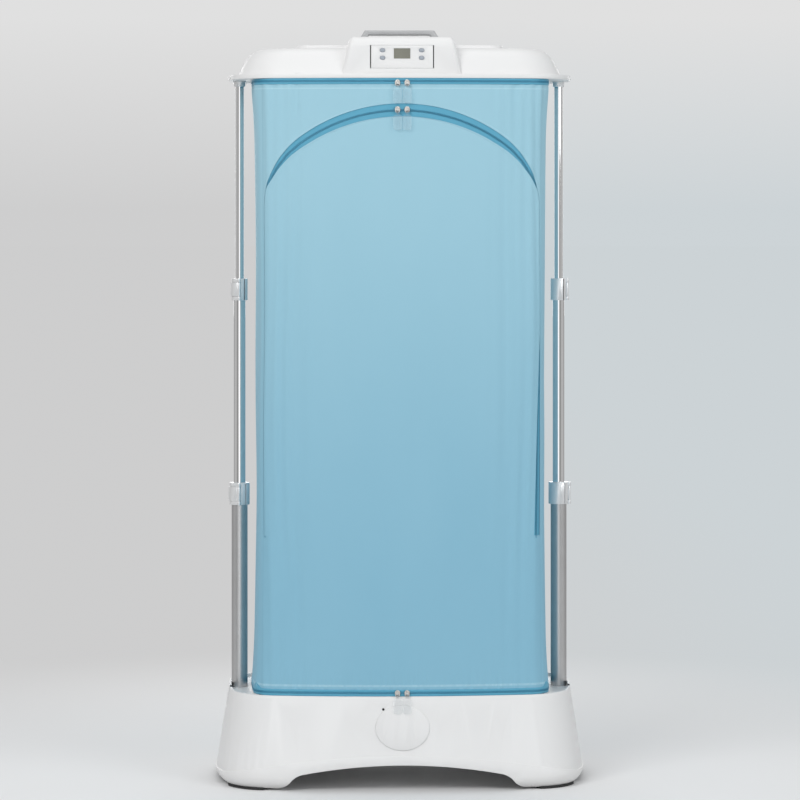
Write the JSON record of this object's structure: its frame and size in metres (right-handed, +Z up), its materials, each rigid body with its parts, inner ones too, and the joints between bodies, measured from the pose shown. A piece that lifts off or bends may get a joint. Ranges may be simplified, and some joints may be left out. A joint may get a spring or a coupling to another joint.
{
  "type": "fabric drying cabinet",
  "caption": "Free-standing drying cabinet: moulded base, telescopic poles with flip-lock clamps, fabric chamber with an arched zip door and a domed fan and heater unit on top.",
  "frame": {"origin": "on the floor, under the middle of the base", "axes": "+Z up along the poles, +X to the right of someone facing the control panel, -Y to the front"},
  "size_m": [0.6938, 0.4166, 1.404],
  "materials": {
    "white_housing": "semi-gloss moulded",
    "rubber_pads": "matte",
    "polished_tube": "polished",
    "satin_tube": "satin",
    "clamp_plastic": "fine texture",
    "grey_handle": "matte",
    "display_glass": "glossy lens",
    "grey_buttons": "matte",
    "board_green": "lacquered",
    "dark_plastic": "matte",
    "heater_metal": "plain",
    "bright_steel": "brushed",
    "blue_fabric": "woven",
    "zip_tape": "woven tape",
    "zip_metal": "plated",
    "clear_tab": "clear moulded"
  },
  "bodies": {
    "base": {"base_housing": "white_housing", "base_badge": "white_housing", "foot_pads": "rubber_pads", "lower_tube_left": "satin_tube", "lower_tube_right": "satin_tube", "lower_collar_left": "clamp_plastic", "lower_collar_right": "clamp_plastic", "bottom_zip": "zip_tape", "fabric_cover": "blue_fabric", "door_panel": "blue_fabric", "door_zip": "zip_tape"},
    "middle_stage_left": {"middle_tube_left": "polished_tube", "upper_collar_left": "clamp_plastic"},
    "middle_stage_right": {"middle_tube_right": "polished_tube", "upper_collar_right": "clamp_plastic"},
    "top_unit": {"upper_tube_left": "polished_tube", "upper_tube_right": "polished_tube", "top_socket_left": "clamp_plastic", "top_socket_right": "clamp_plastic", "top_tray": "white_housing", "top_screws": "bright_steel", "top_dome": "white_housing", "carry_handle": "grey_handle", "control_panel": "white_housing", "display_window": "display_glass", "control_board": "board_green", "outlet_grille": "dark_plastic", "heater_block": "heater_metal", "fan_housing": "dark_plastic", "fan_motor": "bright_steel", "power_inlet": "dark_plastic", "hanger_rail": "bright_steel", "rail_bracket_front": "clamp_plastic", "rail_bracket_rear": "clamp_plastic", "top_zip": "zip_tape"},
    "fan_wheel": {"fan_wheel": "dark_plastic"},
    "button_upper_left": {"button_upper_left": "grey_buttons"},
    "button_upper_right": {"button_upper_right": "grey_buttons"},
    "button_lower_left": {"button_lower_left": "grey_buttons"},
    "button_lower_right": {"button_lower_right": "grey_buttons"},
    "lower_lever_left": {"lower_lever_left": "clamp_plastic"},
    "lower_lever_right": {"lower_lever_right": "clamp_plastic"},
    "upper_lever_left": {"upper_lever_left": "clamp_plastic"},
    "upper_lever_right": {"upper_lever_right": "clamp_plastic"},
    "side_latch_left": {"side_latch_left": "white_housing"},
    "side_latch_right": {"side_latch_right": "white_housing"},
    "top_slider_left": {"top_slider_left": "zip_metal"},
    "top_slider_right": {"top_slider_right": "zip_metal"},
    "top_pull_left": {"top_pull_left": "clear_tab"},
    "top_pull_right": {"top_pull_right": "clear_tab"},
    "door_slider_left": {"door_slider_left": "zip_metal"},
    "door_slider_right": {"door_slider_right": "zip_metal"},
    "door_pull_left": {"door_pull_left": "clear_tab"},
    "door_pull_right": {"door_pull_right": "clear_tab"},
    "bottom_slider_left": {"bottom_slider_left": "zip_metal"},
    "bottom_slider_right": {"bottom_slider_right": "zip_metal"},
    "bottom_pull_left": {"bottom_pull_left": "clear_tab"},
    "bottom_pull_right": {"bottom_pull_right": "clear_tab"}
  },
  "joints": [
    {"name": "top_slide", "type": "slide", "parent": "base", "child": "top_unit", "axis": [0, 0, 1], "range_m": [-0.68, 0], "deforming": ["fabric_cover", "door_panel", "door_zip"]},
    {"name": "middle_slide_left", "type": "slide", "parent": "base", "child": "middle_stage_left", "axis": [0, 0, 1], "range_m": [-0.34, 0]},
    {"name": "middle_slide_right", "type": "slide", "parent": "base", "child": "middle_stage_right", "axis": [0, 0, 1], "range_m": [-0.34, 0]},
    {"name": "lower_lever_flip_left", "type": "hinge", "parent": "base", "child": "lower_lever_left", "pos_m": [-0.3022, -0.02014, 0.5305], "axis": [0, 0, 1], "range_deg": [0, 110]},
    {"name": "lower_lever_flip_right", "type": "hinge", "parent": "base", "child": "lower_lever_right", "pos_m": [0.32096, -0.00522, 0.5305], "axis": [0, 0, -1], "range_deg": [0, 110]},
    {"name": "upper_lever_flip_left", "type": "hinge", "parent": "middle_stage_left", "child": "upper_lever_left", "pos_m": [-0.30206, -0.01614, 0.9155], "axis": [0, 0, 1], "range_deg": [0, 110]},
    {"name": "upper_lever_flip_right", "type": "hinge", "parent": "middle_stage_right", "child": "upper_lever_right", "pos_m": [0.3171, -0.00418, 0.9155], "axis": [0, 0, -1], "range_deg": [0, 110]},
    {"name": "side_latch_hinge_left", "type": "hinge", "parent": "base", "child": "side_latch_left", "pos_m": [-0.3233, 0, 0.138], "axis": [0, -1, 0], "range_deg": [0, 28]},
    {"name": "side_latch_hinge_right", "type": "hinge", "parent": "base", "child": "side_latch_right", "pos_m": [0.3233, 0, 0.138], "axis": [0, 1, 0], "range_deg": [0, 28]},
    {"name": "press_upper_left", "type": "slide", "parent": "top_unit", "child": "button_upper_left", "axis": [0, 1, 0], "range_m": [0, 0.001], "stiffness_N_per_m": 400, "springref_m": -0.0005},
    {"name": "press_upper_right", "type": "slide", "parent": "top_unit", "child": "button_upper_right", "axis": [0, 1, 0], "range_m": [0, 0.001], "stiffness_N_per_m": 400, "springref_m": -0.0005},
    {"name": "press_lower_left", "type": "slide", "parent": "top_unit", "child": "button_lower_left", "axis": [0, 1, 0], "range_m": [0, 0.001], "stiffness_N_per_m": 400, "springref_m": -0.0005},
    {"name": "press_lower_right", "type": "slide", "parent": "top_unit", "child": "button_lower_right", "axis": [0, 1, 0], "range_m": [0, 0.001], "stiffness_N_per_m": 400, "springref_m": -0.0005},
    {"name": "fan_spin", "type": "hinge", "parent": "top_unit", "child": "fan_wheel", "pos_m": [0, 0, 1.3466], "axis": [0, 0, 1], "continuous": true},
    {"name": "top_slider_run_left", "type": "hinge", "parent": "top_unit", "child": "top_slider_left", "pos_m": [0, 1.315, 1.2992], "axis": [0, 0, -1], "range_deg": [0, 8.4]},
    {"name": "top_pull_swing_left", "type": "hinge", "parent": "top_slider_left", "child": "top_pull_left", "pos_m": [-0.0088, -0.1911, 1.2958], "axis": [-1, 0, 0], "range_deg": [0, 150]},
    {"name": "top_slider_run_right", "type": "hinge", "parent": "top_unit", "child": "top_slider_right", "pos_m": [0, 1.315, 1.2992], "axis": [0, 0, 1], "range_deg": [0, 8.4]},
    {"name": "top_pull_swing_right", "type": "hinge", "parent": "top_slider_right", "child": "top_pull_right", "pos_m": [0.0088, -0.1911, 1.2958], "axis": [-1, 0, 0], "range_deg": [0, 150]},
    {"name": "door_slider_run_left", "type": "hinge", "parent": "top_unit", "child": "door_slider_left", "pos_m": [0, -0.1865, 0.941], "axis": [-0.025, -0.9997, 0], "range_deg": [0, 28.6]},
    {"name": "door_pull_swing_left", "type": "hinge", "parent": "door_slider_left", "child": "door_pull_left", "pos_m": [-0.0088, -0.1911, 1.2466], "axis": [-1, 0, 0], "range_deg": [0, 150]},
    {"name": "door_slider_run_right", "type": "hinge", "parent": "top_unit", "child": "door_slider_right", "pos_m": [0, -0.1865, 0.941], "axis": [-0.025, 0.9997, 0], "range_deg": [0, 28.6]},
    {"name": "door_pull_swing_right", "type": "hinge", "parent": "door_slider_right", "child": "door_pull_right", "pos_m": [0.0088, -0.1911, 1.2466], "axis": [-1, 0, 0], "range_deg": [0, 150]},
    {"name": "bottom_slider_run_left", "type": "hinge", "parent": "base", "child": "bottom_slider_left", "pos_m": [0, 1.315, 0.1783], "axis": [0, 0, -1], "range_deg": [0, 8.4]},
    {"name": "bottom_pull_swing_left", "type": "hinge", "parent": "bottom_slider_left", "child": "bottom_pull_left", "pos_m": [-0.0088, -0.1911, 0.1749], "axis": [-1, 0, 0], "range_deg": [0, 150]},
    {"name": "bottom_slider_run_right", "type": "hinge", "parent": "base", "child": "bottom_slider_right", "pos_m": [0, 1.315, 0.1783], "axis": [0, 0, 1], "range_deg": [0, 8.4]},
    {"name": "bottom_pull_swing_right", "type": "hinge", "parent": "bottom_slider_right", "child": "bottom_pull_right", "pos_m": [0.0088, -0.1911, 0.1749], "axis": [-1, 0, 0], "range_deg": [0, 150]}
  ],
  "couplings": [
    {"joint": "middle_slide_left", "follows": "top_slide", "ratio": 0.5},
    {"joint": "middle_slide_right", "follows": "top_slide", "ratio": 0.5}
  ]
}
